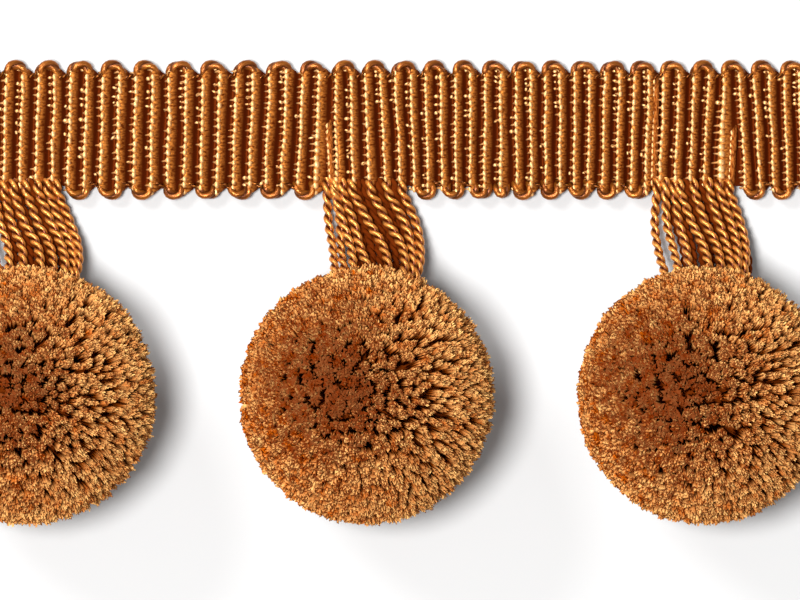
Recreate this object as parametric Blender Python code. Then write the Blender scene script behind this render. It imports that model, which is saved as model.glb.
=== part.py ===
"""Pompom fringe trim, three repeats long: a ribbed, scalloped heading, with balls of cut pile hung from its
lower edge on bundles of twisted cords.

The trim lies on its back. +X runs along the heading, +Y from the balls to the heading's free edge, and +Z
is up. The origin is on the surface that it lies on, under the middle of the whole trim.
"""

import math
from typing import NamedTuple

import bmesh
import bpy
from mathutils import Vector

MM = 0.001

# The trim
REPEAT = 40 * MM               # from the middle of one ball to the next
DEPTH = 55.2 * MM              # from the heading's free edge to the far side of the balls

# The heading, woven from pairs of ribs
HEADING_WIDTH = 16 * MM        # over the scallops
HEADING_THICKNESS = 2.4 * MM   # at the crest of a rib
GROOVE_DEPTH = 0.7 * MM
SCALLOP_HEIGHT = 1.3 * MM      # from a notch to a scallop's tip
EDGE_ROUNDING = 0.55 * MM
STEPS_PER_RIB = 4


class Run(NamedTuple):
    """A run of evenly spaced ribs and scallops along one edge of the heading, from the left."""

    end: float                 # from the middle of the trim
    ribs: int
    scallops: int              # none where a hanger leaves the edge


# The upper edge's scallops join the ribs in pairs. The lower edge's slip by a rib beside two of the hangers,
# and the ribs lean with them.
UPPER_EDGE = [
    Run(-8.1 * MM, 26, 13),
    Run(60.0 * MM, 38, 19),
]
LOWER_EDGE = [
    Run(-48.0 * MM, 6, 3),
    Run(-36.5 * MM, 6, 0),
    Run(-5.5 * MM, 16, 8),
    Run(5.3 * MM, 5, 0),
    Run(15.2 * MM, 6, 3),
    Run(16.9 * MM, 1, 1),
    Run(33.8 * MM, 10, 5),
    Run(44.5 * MM, 5, 0),
    Run(58.1 * MM, 8, 4),
    Run(60.0 * MM, 1, 1),
]

# The balls, trimmed a little longer than they are wide, and flattened by their weight
BALL_WIDTH = 30.5 * MM         # along the heading
BALL_LENGTH = 31.2 * MM        # across it
BALL_FLAT = 10 * MM            # across the flat spot
BALL_SUBDIVISIONS = 4          # of an icosphere
BALL_UNEVENNESS = 0.012        # of its radius
POCKET_GAP = 0.33 * MM         # round the hanger that runs into it

# The hangers, each a flattened bundle of cords
CORDS_ROUND_HANGER = 10        # that show round its outside
POINTS_PER_CORD = 3
CORD_RELIEF = 0.14             # how far the cords stand out, as a share of the hanger's radius
CORD_SLANT = math.radians(50)  # how far the cords turn round the hanger from end to end


class Hanger(NamedTuple):
    """The sides of a hanger, from the middle of its ball, where it leaves the heading, half way, and at the
    ball's rim."""

    top_left: float
    top_right: float
    middle_left: float
    middle_right: float
    ball_left: float
    ball_right: float


HANGERS = [
    Hanger(-6.0 * MM, 3.1 * MM, -5.9 * MM, 5.8 * MM, -4.8 * MM, 5.6 * MM),
    Hanger(-5.1 * MM, 4.9 * MM, -5.1 * MM, 6.7 * MM, -4.2 * MM, 6.4 * MM),
    Hanger(-5.8 * MM, 4.1 * MM, -6.4 * MM, 4.9 * MM, -5.4 * MM, 4.5 * MM),
]


class Station(NamedTuple):
    """A place along a hanger: where it is across the trim and above the surface, and its thickness there."""

    across: float
    height: float
    thickness: float


# A hanger leaves the heading level, rises to the underside of the ball's rim and ends inside the pile.
STATIONS = [
    Station(12.6 * MM, 1.25 * MM, 1.9 * MM),
    Station(11.4 * MM, 1.30 * MM, 2.0 * MM),
    Station(8.6 * MM, 1.75 * MM, 2.3 * MM),
    Station(5.6 * MM, 3.30 * MM, 2.6 * MM),
    Station(2.6 * MM, 5.60 * MM, 2.9 * MM),
    Station(-0.4 * MM, 8.00 * MM, 3.2 * MM),
    Station(-3.4 * MM, 10.40 * MM, 3.4 * MM),
]
FLAT_STATION = 1               # as far as this one the hanger keeps its top width
MIDDLE_STATION = 3
RIM_STATION = 4
LAST_STATION = len(STATIONS) - 1
END_WIDTH = 0.8                # at the last station, as a share of the width at the rim

BALLS = len(HANGERS)
LENGTH = BALLS * REPEAT
RIBS = sum(run.ribs for run in UPPER_EDGE)
HEADING_TOP = DEPTH / 2
HEADING_FOOT = HEADING_TOP - HEADING_WIDTH
BALL_MIDDLE = -DEPTH / 2 + BALL_LENGTH / 2
BALL_RADIUS = BALL_WIDTH / 2
BALL_HEIGHT = math.sqrt(BALL_RADIUS**2 - (BALL_FLAT / 2) ** 2)  # of its middle


def clear_scene():
    for thing in list(bpy.data.objects):
        bpy.data.objects.remove(thing)


def material(name, colour, roughness):
    """A plain fabric finish."""
    made = bpy.data.materials.new(name)
    made.use_nodes = True
    shader = made.node_tree.nodes["Principled BSDF"]
    shader.inputs["Base Color"].default_value = (*colour, 1)
    shader.inputs["Roughness"].default_value = roughness
    shader.inputs["Metallic"].default_value = 0
    return made


def add_object(name, shape, finish, parent=None):
    """Makes the bmesh an object, with its faces pointing out."""
    bmesh.ops.recalc_face_normals(shape, faces=shape.faces)
    mesh = bpy.data.meshes.new(name)
    shape.to_mesh(mesh)
    shape.free()
    made = bpy.data.objects.new(name, mesh)
    bpy.context.scene.collection.objects.link(made)
    mesh.materials.append(finish)
    mesh.shade_smooth()
    mesh.set_sharp_from_angle(angle=math.radians(40))
    made.parent = parent
    return made


def skin(rings):
    """A bmesh tube through rings of equally many points, closed with a face at both ends."""
    shape = bmesh.new()
    verts = [[shape.verts.new(point) for point in ring] for ring in rings]
    count = len(rings[0])
    for first, second in zip(verts, verts[1:]):
        for i in range(count):
            j = (i + 1) % count
            shape.faces.new((first[i], first[j], second[j], second[i]))
    shape.faces.new(verts[0])
    shape.faces.new(reversed(verts[-1]))
    return shape


def share_between(x, start, end):
    """How far x is from start to end, smoothly, from 0 to 1."""
    t = min(1, max(0, (x - start) / (end - start)))
    return t * t * (3 - 2 * t)


# The heading


def rib_height(rib):
    """The height of the heading's face, which rises and falls as a row of round ribs."""
    return HEADING_THICKNESS - GROOVE_DEPTH * (1 - math.sin(math.pi * (rib % 1)) ** 0.7)


def edge_point(edge, rib):
    """The place along the trim, that many ribs from the left end, and how far a scallop stands out there."""
    start = -LENGTH / 2
    for run in edge:
        if rib <= run.ribs:
            break
        rib -= run.ribs
        start = run.end
    share = rib / run.ribs
    across_scallop = share * run.scallops % 1
    bulge = SCALLOP_HEIGHT * math.sqrt(1 - (2 * across_scallop - 1) ** 2)
    return start + share * (run.end - start), bulge


def heading_ring(rib):
    """The heading's section that many ribs from its left end, from the foot over the face to the top."""
    upper, upper_bulge = edge_point(UPPER_EDGE, rib)
    lower, lower_bulge = edge_point(LOWER_EDGE, rib)
    top = HEADING_TOP - SCALLOP_HEIGHT + upper_bulge
    foot = HEADING_FOOT + SCALLOP_HEIGHT - lower_bulge
    crest = rib_height(rib)
    middle = HEADING_THICKNESS / 2
    shoulder = middle + 0.75 * (crest - middle)
    return [
        Vector((lower, foot + EDGE_ROUNDING, 0)),
        Vector((lower, foot, middle)),
        Vector((lower, foot + 0.4 * EDGE_ROUNDING, shoulder)),
        Vector((lower, foot + 1.8 * EDGE_ROUNDING, crest)),
        Vector((upper, top - 1.8 * EDGE_ROUNDING, crest)),
        Vector((upper, top - 0.4 * EDGE_ROUNDING, shoulder)),
        Vector((upper, top, middle)),
        Vector((upper, top - EDGE_ROUNDING, 0)),
    ]


def heading_shape():
    """The woven braid as one solid, flat underneath."""
    return skin([heading_ring(i / STEPS_PER_RIB) for i in range(RIBS * STEPS_PER_RIB + 1)])


# The hangers


def ball_places():
    """Where the balls' middles are along the heading."""
    return [(i - (BALLS - 1) / 2) * REPEAT for i in range(BALLS)]


def hanger_sides(hanger, index):
    """The hanger's left and right sides at a station, from the middle of its ball."""
    down = share_between(index, FLAT_STATION, MIDDLE_STATION)
    on = share_between(index, MIDDLE_STATION, RIM_STATION)
    left = hanger.top_left + down * (hanger.middle_left - hanger.top_left)
    left += on * (hanger.ball_left - hanger.middle_left)
    right = hanger.top_right + down * (hanger.middle_right - hanger.top_right)
    right += on * (hanger.ball_right - hanger.middle_right)
    taper = share_between(index, RIM_STATION, LAST_STATION) * (1 - END_WIDTH) / 2
    return left + taper * (right - left), right - taper * (right - left)


def station_direction(index):
    """The way a hanger runs at a station, square to X."""
    before = STATIONS[max(index - 1, 0)]
    after = STATIONS[min(index + 1, LAST_STATION)]
    return Vector((0, after.across - before.across, after.height - before.height)).normalized()


def hanger_ring(hanger, ball, index, grow):
    """The fluted outline of the hanger at a station, or one grown outwards by that much with no flutes."""
    station = STATIONS[index]
    left, right = hanger_sides(hanger, index)
    along = station_direction(index)
    up = along.cross(Vector((1, 0, 0)))
    middle = Vector((ball + (left + right) / 2, station.across, station.height))
    if index == LAST_STATION:
        middle += along * grow
    turn = CORD_SLANT * index / LAST_STATION
    points = []
    count = CORDS_ROUND_HANGER * (2 if grow else POINTS_PER_CORD)
    for i in range(count):
        angle = 2 * math.pi * i / count
        flute = 0 if grow else CORD_RELIEF * (1 - math.cos(CORDS_ROUND_HANGER * (angle + turn))) / 2
        wide = ((right - left) / 2 + grow) * (1 - flute)
        thick = (station.thickness / 2 + grow) * (1 - flute)
        points.append(middle + Vector((wide * math.cos(angle), 0, 0)) + up * thick * math.sin(angle))
    return points


def hanger_shape(hanger, ball, grow=0.0):
    return skin([hanger_ring(hanger, ball, i, grow) for i in range(len(STATIONS))])


# The balls


def ball_shape(ball, turn):
    """A trimmed ball of cut pile, slightly uneven, with a flat spot where it rests."""
    shape = bmesh.new()
    bmesh.ops.create_icosphere(shape, subdivisions=BALL_SUBDIVISIONS, radius=1)
    for vert in shape.verts:
        x, y, z = vert.co
        wave = math.sin(3 * x + turn) * math.sin(4 * y - turn) * math.cos(3 * z + 2 * turn)
        vert.co *= 1 + BALL_UNEVENNESS * wave
    for axis, size in enumerate((BALL_WIDTH, BALL_LENGTH, BALL_WIDTH)):
        low = min(vert.co[axis] for vert in shape.verts)
        high = max(vert.co[axis] for vert in shape.verts)
        for vert in shape.verts:
            vert.co[axis] = ((vert.co[axis] - low) / (high - low) - 0.5) * size
    middle = Vector((ball, BALL_MIDDLE, BALL_HEIGHT))
    for vert in shape.verts:
        vert.co += middle
        vert.co.z = max(vert.co.z, 0)
    return shape


def cut_pocket(pile, hanger, ball, finish):
    """Opens the pile for the hanger that runs into it."""
    cutter = add_object(f"{pile.name}_pocket", hanger_shape(hanger, ball, POCKET_GAP), finish)
    cutter.hide_render = True
    cutter.display_type = "WIRE"
    pocket = pile.modifiers.new("pocket", "BOOLEAN")
    pocket.operation = "DIFFERENCE"
    pocket.solver = "EXACT"
    pocket.object = cutter


def main():
    clear_scene()
    braid = material("woven_rayon", (0.31, 0.10, 0.02), 0.4)
    twist = material("twisted_rayon", (0.36, 0.12, 0.025), 0.35)
    pile_yarn = material("cut_pile_yarn", (0.46, 0.19, 0.06), 0.9)

    trim = bpy.data.objects.new("trim", None)
    bpy.context.scene.collection.objects.link(trim)
    add_object("heading", heading_shape(), braid, trim)
    for number, (hanger, ball) in enumerate(zip(HANGERS, ball_places()), start=1):
        add_object(f"hanger_{number}", hanger_shape(hanger, ball), twist, trim)
        pile = add_object(f"ball_{number}", ball_shape(ball, number), pile_yarn, trim)
        cut_pocket(pile, hanger, ball, pile_yarn)


main()
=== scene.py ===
# %% [markdown]
# # Pompom fringe trim
# This trim is a woven braid with balls of cut pile hung from its lower edge on bundles of twisted cords.
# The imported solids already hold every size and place. This lesson dresses them in thread: each piece is
# rebuilt as the yarn that it is really made of, inside the space that its solid keeps for it.

import math
from typing import NamedTuple

import bpy
import numpy as np
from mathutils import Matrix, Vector


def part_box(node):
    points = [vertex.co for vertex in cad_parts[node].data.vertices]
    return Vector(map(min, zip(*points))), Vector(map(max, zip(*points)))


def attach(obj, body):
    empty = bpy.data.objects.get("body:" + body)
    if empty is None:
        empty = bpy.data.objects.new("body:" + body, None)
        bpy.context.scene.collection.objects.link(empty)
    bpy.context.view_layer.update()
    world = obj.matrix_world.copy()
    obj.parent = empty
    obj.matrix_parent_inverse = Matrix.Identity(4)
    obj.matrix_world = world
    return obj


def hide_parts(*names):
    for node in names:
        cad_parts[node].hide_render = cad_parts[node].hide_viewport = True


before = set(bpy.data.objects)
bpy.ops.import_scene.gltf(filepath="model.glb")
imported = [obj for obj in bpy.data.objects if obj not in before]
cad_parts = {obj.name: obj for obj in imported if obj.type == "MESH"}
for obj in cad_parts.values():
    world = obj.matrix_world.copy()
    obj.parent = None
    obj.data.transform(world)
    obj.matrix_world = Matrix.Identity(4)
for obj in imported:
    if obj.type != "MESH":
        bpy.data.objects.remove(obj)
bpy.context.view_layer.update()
MM = 0.001


def put(name, data):
    """A new object with that data, in the scene."""
    made = bpy.data.objects.new(name, data)
    bpy.context.scene.collection.objects.link(made)
    return made


print("nodes:", ", ".join(sorted(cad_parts)))

# %% [markdown]
# ## The camera and the light
# The trim lies flat and is seen from straight above. A near camera would show the outer balls from the
# side, so a long lens stands far away, which keeps every ball equally round. Its focal length is worked out
# from the width of table that it should take in.

# %% The camera
VIEW_CENTRE = Vector((3.9 * MM, -0.7 * MM, 10 * MM))
VIEW_WIDTH = 95 * MM
CAMERA_HEIGHT = 1.5

camera = put("camera", bpy.data.cameras.new("camera"))
camera.data.sensor_width = 36
camera.data.lens = camera.data.sensor_width * CAMERA_HEIGHT / VIEW_WIDTH
camera.data.clip_end = 50
camera.location = VIEW_CENTRE + Vector((0, 0, CAMERA_HEIGHT))
bpy.context.scene.camera = camera
bpy.context.scene.view_settings.view_transform = "Standard"
print(f"a {camera.data.lens:.0f} mm lens, {CAMERA_HEIGHT} m up")

# %% [markdown]
# A single big light would flatten the thread, and a single small one would cut hard shadows. So one soft
# box a little left of overhead draws the short shadow beside each ball. A second, lower light from the top
# left models the ribs of the braid, and a weak one low at the other side, with the pale room, fills in the
# sides that they miss. The lights are hidden from the camera, because it hangs behind them.

# %% The lights
LIGHT_DISTANCE = 1.0


def light(name, left, up, width, height, power):
    """An area light that many degrees left of overhead and up from it, width by height degrees across."""
    lamp = bpy.data.lights.new(name, "AREA")
    lamp.shape = "ELLIPSE"
    lamp.size = 2 * math.tan(math.radians(width / 2)) * LIGHT_DISTANCE
    lamp.size_y = 2 * math.tan(math.radians(height / 2)) * LIGHT_DISTANCE
    lamp.energy = power
    made = put(name, lamp)
    toward = Vector((-math.tan(math.radians(left)), math.tan(math.radians(up)), 1)).normalized()
    made.location = toward * LIGHT_DISTANCE
    made.rotation_euler = toward.to_track_quat("Z", "Y").to_euler()
    made.visible_camera = False


light("soft_box", left=11.5, up=-1, width=15, height=15, power=13.2)
light("side_light", left=38, up=41, width=26, height=22, power=7.0)
light("low_fill", left=-60, up=-52, width=50, height=50, power=2.4)

world = bpy.data.worlds.new("pale_room")
bpy.context.scene.world = world
world.use_nodes = True
world.node_tree.nodes["Background"].inputs["Color"].default_value = (1, 1, 1, 1)
world.node_tree.nodes["Background"].inputs["Strength"].default_value = 0.28

# %% [markdown]
# ## Helpers
# Every node tree below, for a finish or for a shape, is built with one function that adds a node and fills
# its inputs. Colours are written as the hex codes that a colour picker shows, and turned to linear light.


# %% Nodes and colours
def fill(node, inputs):
    """Fills inputs, listed in order or by name or number, with values or links. A link is given as the
    socket that it comes from, or as a node, which stands for its first output."""
    for key, value in inputs.items() if isinstance(inputs, dict) else enumerate(inputs):
        if isinstance(value, bpy.types.Node):
            value = value.outputs[0]
        if isinstance(value, bpy.types.NodeSocket):
            node.id_data.links.new(value, node.inputs[key])
        else:
            node.inputs[key].default_value = value
    return node


def add(tree, kind, inputs=(), **settings):
    """Adds a node, sets its properties and fills its inputs."""
    node = tree.nodes.new(kind)
    for name, value in settings.items():
        setattr(node, name, value)
    return fill(node, inputs)


def colour(code):
    """The linear colour of an sRGB hex code."""
    parts = [int(code[i:i + 2], 16) / 255 for i in (0, 2, 4)]
    return (*[p / 12.92 if p <= 0.04045 else ((p + 0.055) / 1.055) ** 2.4 for p in parts], 1)


# %% [markdown]
# A shape that repeats is a Geometry Nodes tree with its sizes as named inputs. `grow` runs a tree on a base
# object and keeps the result as a plain mesh, so nothing is left live on the finished piece. The finishes
# need to know where on its thread each point lies, so the trees store that as named attributes.


# %% Growing a mesh from a tree
def new_tree(name, **sizes):
    """An empty Geometry Nodes tree with inputs of those kinds, and the outputs of its input node."""
    tree = bpy.data.node_groups.new(name, "GeometryNodeTree")
    tree.interface.new_socket("Geometry", in_out="OUTPUT", socket_type="NodeSocketGeometry")
    tree.interface.new_socket("Geometry", in_out="INPUT", socket_type="NodeSocketGeometry")
    for label, kind in sizes.items():
        tree.interface.new_socket(label, in_out="INPUT", socket_type="NodeSocket" + kind)
    return tree, add(tree, "NodeGroupInput").outputs


def end_tree(tree, geometry, finish):
    """Ends a tree: the instances are realized, their faces are smooth, and the finish is set."""
    solid = add(tree, "GeometryNodeRealizeInstances", {"Geometry": geometry})
    smooth = add(tree, "GeometryNodeSetShadeSmooth", {"Geometry": solid, "Shade Smooth": True})
    done = add(tree, "GeometryNodeSetMaterial", {"Geometry": smooth, "Material": finish})
    add(tree, "NodeGroupOutput", {"Geometry": done})


def set_out(tree, points, shapes, which, turn, scale):
    """Sets one of a collection's shapes on each point, with that turn and scale."""
    kinds = add(tree, "GeometryNodeCollectionInfo",
                {"Collection": shapes, "Separate Children": True, "Reset Children": True})
    return add(tree, "GeometryNodeInstanceOnPoints",
               {"Points": points, "Instance": kinds, "Pick Instance": True, "Instance Index": which,
                "Rotation": turn, "Scale": scale})


def grow(name, base, tree, **sizes):
    """Runs the tree on the base object, which is used up, and returns the result as a plain mesh object."""
    modifier = base.modifiers.new("tree", "NODES")
    modifier.node_group = tree
    for socket in tree.interface.items_tree:
        if socket.in_out == "INPUT" and socket.name in sizes:
            modifier[socket.identifier] = sizes[socket.name]
    graph = bpy.context.evaluated_depsgraph_get()
    mesh = bpy.data.meshes.new_from_object(base.evaluated_get(graph), depsgraph=graph)
    base.modifiers.remove(modifier)
    bpy.data.objects.remove(base)
    mesh.name = name
    print(f"{name}: {sum(len(face.vertices) - 2 for face in mesh.polygons)} triangles")
    return put(name, mesh)


def mesh_object(name, points, faces, attributes=None):
    """A mesh object with float or vector attributes on its points."""
    mesh = bpy.data.meshes.new(name)
    mesh.from_pydata([tuple(map(float, p)) for p in points], [], [tuple(map(int, f)) for f in faces])
    for label, values in (attributes or {}).items():
        values = np.asarray(values, np.float32)
        kind, field = ("FLOAT_VECTOR", "vector") if values.ndim == 2 else ("FLOAT", "value")
        mesh.attributes.new(label, kind, "POINT").data.foreach_set(field, values.ravel())
    return put(name, mesh)


# %% [markdown]
# ## Finishes
# The braid and the cords are rayon, a smooth bright filament that throws cream highlights off a deep amber.
# Much of that light passes through the surface of the dyed filament and comes back coloured, so `lustre`
# makes the finish partly metallic, where plain gloss would be grey. The balls are a matt spun yarn of the
# same dye lot. An image could be wrapped round every thread, but noise that reads the position across and
# along the thread, left by each shape on its points, always runs with it and never repeats. `tone`, from 0
# to 1, sets one thread off from the next, and `rise` says how deep in its groove, between its plies or in
# the pile a point lies, so that a finish can paint shade where it is low. On the warp, `rise` holds a
# painted highlight instead, high where a thread bends.

# %% The thread finishes
FILAMENT = 0.07 * MM  # real filaments are 0.02 mm, too fine to show, so these strands are drawn coarser
FILAMENT_RUN = 1.6 * MM  # how far a strand stays on top before another covers it
STRAND_HEIGHT = 0.05 * MM
THREAD_SHIFT = 40.0  # how far apart the noise of two threads is read, so that they don't look alike
MOTTLE_STRENGTH = 1.5
# a cut end is painted in shade, for the light lost between its fibres
CUT_SHARE = 0.9  # how much of the side's colour is hidden at a cut end
CELLULOSE_IOR = 1.53


def thread_finish(name, dark, light, roughness, relief, gloss=0.5, lustre=0.0, uneven=0.3, root=None,
                  rise=(0.1, 0.75), cut=None, strand=FILAMENT, run=FILAMENT_RUN, mottle=0.0):
    """A finish for yarn, mixed from a dark and a light shade of its dye, with strands of that width, run
    and relief. Threads differ by `uneven`, and turn to the root's colour, a painted shade, where the
    attribute `rise` is low. Faces with the attribute `cut` have that colour instead, also a painted shade,
    and patches as wide as `mottle` differ."""
    finish = bpy.data.materials.new(name)
    finish.use_nodes = True
    tree = finish.node_tree
    section, along, tone = [add(tree, "ShaderNodeAttribute", attribute_name=label).outputs
                            for label in ("section", "along", "tone")]
    place = add(tree, "ShaderNodeSeparateXYZ", [section["Vector"]]).outputs
    x, y = [add(tree, "ShaderNodeMath", [place[i], 1 / strand], operation="MULTIPLY") for i in (0, 1)]
    length = add(tree, "ShaderNodeMath", [along["Fac"], 1 / run], operation="MULTIPLY")
    z = add(tree, "ShaderNodeMath", [tone["Fac"], THREAD_SHIFT, length], operation="MULTIPLY_ADD")
    spot = add(tree, "ShaderNodeCombineXYZ", [x, y, z])
    strands = add(tree, "ShaderNodeTexNoise",
                  {"Vector": spot, "Scale": 1.0, "Detail": 2.0, "Roughness": 0.6})
    shade = add(tree, "ShaderNodeMath", [tone["Fac"], uneven, strands], operation="MULTIPLY_ADD")
    if mottle:
        where = add(tree, "ShaderNodeTexCoord").outputs["Object"]
        patches = add(tree, "ShaderNodeTexNoise", {"Vector": where, "Scale": 1 / mottle, "Detail": 1.0})
        patches = add(tree, "ShaderNodeMath", [patches, 0.5], operation="SUBTRACT")
        shade = add(tree, "ShaderNodeMath", [patches, MOTTLE_STRENGTH, shade], operation="MULTIPLY_ADD")
    share = add(tree, "ShaderNodeMapRange", {"Value": shade, "From Min": 0.35, "From Max": 0.65 + uneven})
    dye = add(tree, "ShaderNodeMix", {0: share, 6: colour(dark), 7: colour(light)}, data_type="RGBA")
    if root:
        height = add(tree, "ShaderNodeAttribute", attribute_name="rise").outputs["Fac"]
        share = add(tree, "ShaderNodeMapRange", {"Value": height, "From Min": rise[0], "From Max": rise[1]})
        dye = add(tree, "ShaderNodeMix", {0: share, 6: colour(root), 7: dye.outputs[2]}, data_type="RGBA")
    if cut:
        end = add(tree, "ShaderNodeAttribute", attribute_name="cut").outputs["Fac"]
        share = add(tree, "ShaderNodeMath", [end, CUT_SHARE], operation="MULTIPLY")
        dye = add(tree, "ShaderNodeMix", {0: share, 6: dye.outputs[2], 7: colour(cut)}, data_type="RGBA")
    bump = add(tree, "ShaderNodeBump", {"Height": strands, "Strength": relief, "Distance": STRAND_HEIGHT})
    # the metallic share is the light that glances off the filaments dyed
    fill(tree.nodes["Principled BSDF"], {
        "Base Color": dye.outputs[2], "Normal": bump, "Roughness": roughness, "IOR": CELLULOSE_IOR,
        "Specular IOR Level": gloss, "Metallic": lustre})
    return finish


# the warp is untwisted filament, so its bends are broad and even highlights, helped by a painted highlight
braid_rayon = thread_finish("woven_bright_rayon", "E09C50", "FCD090", 0.38, 0.2, gloss=0.3, lustre=0.5,
                            uneven=0.15, root="8A4412", rise=(0.1, 0.9))
# the winding of the ribs is tight and ridged, so it is duller, and it is painted in shade down in the
# grooves
rib_rayon = thread_finish("covered_gimp_rayon", "5C2204", "EC9440", 0.50, 0.9, gloss=0.0, lustre=0.3,
                          uneven=0.0, root="602408", rise=(0.56, 0.93), strand=0.26 * MM, run=0.5 * MM)
# a twisted ply gleams along its crest, and it is painted in shade down its flanks to where it meets the
# next
cord_rayon = thread_finish("twisted_bright_rayon", "C06418", "FCB45C", 0.28, 0.4, gloss=0.35, lustre=0.6,
                           uneven=0.2, root="561C02", rise=(0.58, 0.97))
# where the gimp turns at the edges its winding opens, which shows a darker, redder thread
# and it is painted in shade where its plies meet, like the cords
gimp_rayon = thread_finish("turned_gimp_rayon", "72340A", "B86C22", 0.30, 0.8, gloss=0.4, lustre=0.6,
                           uneven=0.2, root="401404", rise=(0.50, 0.96), strand=0.12 * MM, run=0.9 * MM)
# the half ribs and the cords at the back of a hanger lie in shade, so they are painted darker, a painted
# shade
core_rayon = thread_finish("covered_gimp_core", "561F05", "B0662A", 0.55, 0.9, gloss=0.0, lustre=0.2,
                           uneven=0.0, strand=0.17 * MM, run=0.4 * MM)
shaded_rayon = thread_finish("twisted_rayon_in_shade", "481804", "682A08", 0.8, 0.4, gloss=0.0)
# spun fibre is matt; its cut ends and its roots are painted in shade, so a ball is darkest in the middle
pile_yarn = thread_finish("cut_spun_pile_yarn", "BA580A", "FECA7C", 0.8, 0.3, gloss=0.0, uneven=0.6,
                          root="A44A08", rise=(0.45, 0.97), cut="561400", strand=0.30 * MM, mottle=1.4 * MM)
# the heart is painted dark, a painted shade for the deep pile
heart_yarn = thread_finish("shaded_pile_heart", "5E2406", "7C3608", 0.9, 0.3, gloss=0.0)
finishes = (braid_rayon, rib_rayon, cord_rayon, gimp_rayon, core_rayon, shaded_rayon, pile_yarn, heart_yarn)
print("finishes:", ", ".join(finish.name for finish in finishes))

# %% [markdown]
# ## The table
# The trim lies on a plain white card. A pure white would bounce so much light that the shadows fade, so the
# card is a mid grey that the lamps lift to just past white.

# %% The table
TABLE_SIZE = 3.0

table = put("table", bpy.data.meshes.new("table"))
corners = [(x * TABLE_SIZE, y * TABLE_SIZE, 0) for x, y in ((-1, -1), (1, -1), (1, 1), (-1, 1))]
table.data.from_pydata(corners, [], [(0, 1, 2, 3)])
table_paint = bpy.data.materials.new("matt_white_card")
table_paint.use_nodes = True
fill(table_paint.node_tree.nodes["Principled BSDF"],
     {"Base Color": (0.58, 0.58, 0.58, 1), "Roughness": 0.9, "Specular IOR Level": 0.0})
table.data.materials.append(table_paint)
print(f"a table {2 * TABLE_SIZE:.0f} m square")

# %% [markdown]
# ## The balls
# A ball is hundreds of ends of yarn, tied round the middle, cut and trimmed to a sphere. Each end opens
# into a tuft of fibres. A fur of thin hairs would look too fine, and a bumpy sphere has no gaps, so the
# tuft is a small mesh: a few thick strands that fill it out, and finer ones cut on a slant that catch the
# light singly.

# %% One tuft
TUFT_RADIUS = 0.46 * MM
TUFT_DOME = 0.26  # how much lower its rim is than its middle, as a share of its length
TUFT_CORES = 4  # the thick strands inside it that fill it out
CORE_WIDTH = 0.58 * MM
CORE_REACH = 0.6  # how far out they stand, as a share of the tuft's radius
CORE_DROP = 0.07  # how much shorter they are than the fibres round them
TUFT_FIBRES = 12
FIBRE_WIDTH = 0.24 * MM  # a real fibre is 0.02 mm, so each of these stands for a lock of them
FIBRE_SLANT = 0.17 * MM  # how far the cut runs down a fibre's end
ROOT_REACH = 0.7  # how far out the roots stand, as a share of the tips
GOLDEN_ANGLE = 2.39996  # a turn by this from each fibre to the next spreads them evenly
TUFT_VARIANTS = 6
HEART_SIZE = 0.80  # of the ball's radius


def spike(root, tip, width, turn):
    """The points and faces of a fibre: a point at its root, and three corners at its slanted end."""
    direction = (tip - root) / np.linalg.norm(tip - root)
    side = np.cross(direction, (math.cos(turn), math.sin(turn), 0.2))
    side /= np.linalg.norm(side)
    other = np.cross(direction, side)
    corners = [tip + width / 2 * (math.cos(a) * side + math.sin(a) * other) - drop * FIBRE_SLANT * direction
               for a, drop in ((0, 0.0), (2 * math.pi / 3, 1.0), (4 * math.pi / 3, 0.8))]
    return [root, *corners], [(0, 2, 1), (0, 3, 2), (0, 1, 3), (1, 2, 3)]


def tuft(name, length, seed):
    """A tuft that stands on its root, that long: a domed brush of fibres over a few thicker strands."""
    draw = np.random.default_rng(seed)
    spots = [(CORE_REACH, i / TUFT_CORES * 2 * math.pi + draw.uniform(0, 1), CORE_WIDTH, CORE_DROP)
             for i in range(TUFT_CORES)]
    spots += [(math.sqrt((i + 0.5) / TUFT_FIBRES), i * GOLDEN_ANGLE + draw.uniform(-0.5, 0.5),
               FIBRE_WIDTH, 0.0) for i in range(TUFT_FIBRES)]
    points, faces = [], []
    for reach, angle, width, drop in spots:
        flat = reach * TUFT_RADIUS * np.array((math.cos(angle), math.sin(angle)))
        top = length * (1 - drop - TUFT_DOME * reach * reach + draw.normal(0, 0.03))
        tip = np.array((*(flat + draw.normal(0, 0.06 * MM, 2)), top))
        root = np.array((*(flat * ROOT_REACH), 0.0))
        made, sides = spike(root, tip, width, draw.uniform(0, 2 * math.pi))
        faces += [[corner + len(points) for corner in side] for side in sides]
        points += made
    points = np.array(points)
    # `rise` is how far up its fibre a point is, and the finish paints shade low down, among the roots
    rise = np.clip(points[:, 2] / length, 0, 1)
    section = points * (MM / TUFT_RADIUS, MM / TUFT_RADIUS, 0)
    made = mesh_object(name, points, faces, {"section": section, "rise": rise, "along": rise * length})
    # the sides of a fibre are round, and its cut end is flat and is painted in shade, for the light lost
    # between its fibres
    cut = made.data.attributes.new("cut", "FLOAT", "FACE")
    cut.data.foreach_set("value", [0.0, 0.0, 0.0, 1.0] * len(spots))
    for edge in made.data.edges:
        edge.use_edge_sharp = all(corner % 4 for corner in edge.vertices)
    return made


# %% [markdown]
# Nearly three thousand tufts stand on a ball, too many to place by hand, so Geometry Nodes scatter them
# over a smaller sphere, the heart, painted in shade, that only shows as shadow between them. They point
# away from the knot, and lie over sideways above and below it as real ends do, which shows their sides in a
# ring round a dark middle, where their cut ends, painted in shade, show most. On the left of each ball the
# fibres splay into one another, and on the right each end keeps together and is painted paler.


# %% The tree that scatters tufts
CLUMP_SCALE = 260.0  # clumps of tufts are about 4 mm across
BEND_SCALE = 1500.0  # and a fibre's bends about 0.7 mm
STRAIGHTEST = 0.3  # how much of its bends a fibre keeps on the right
SIDE_REACH = 9 * MM  # how far from the knot the left side and the right side begin


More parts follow.
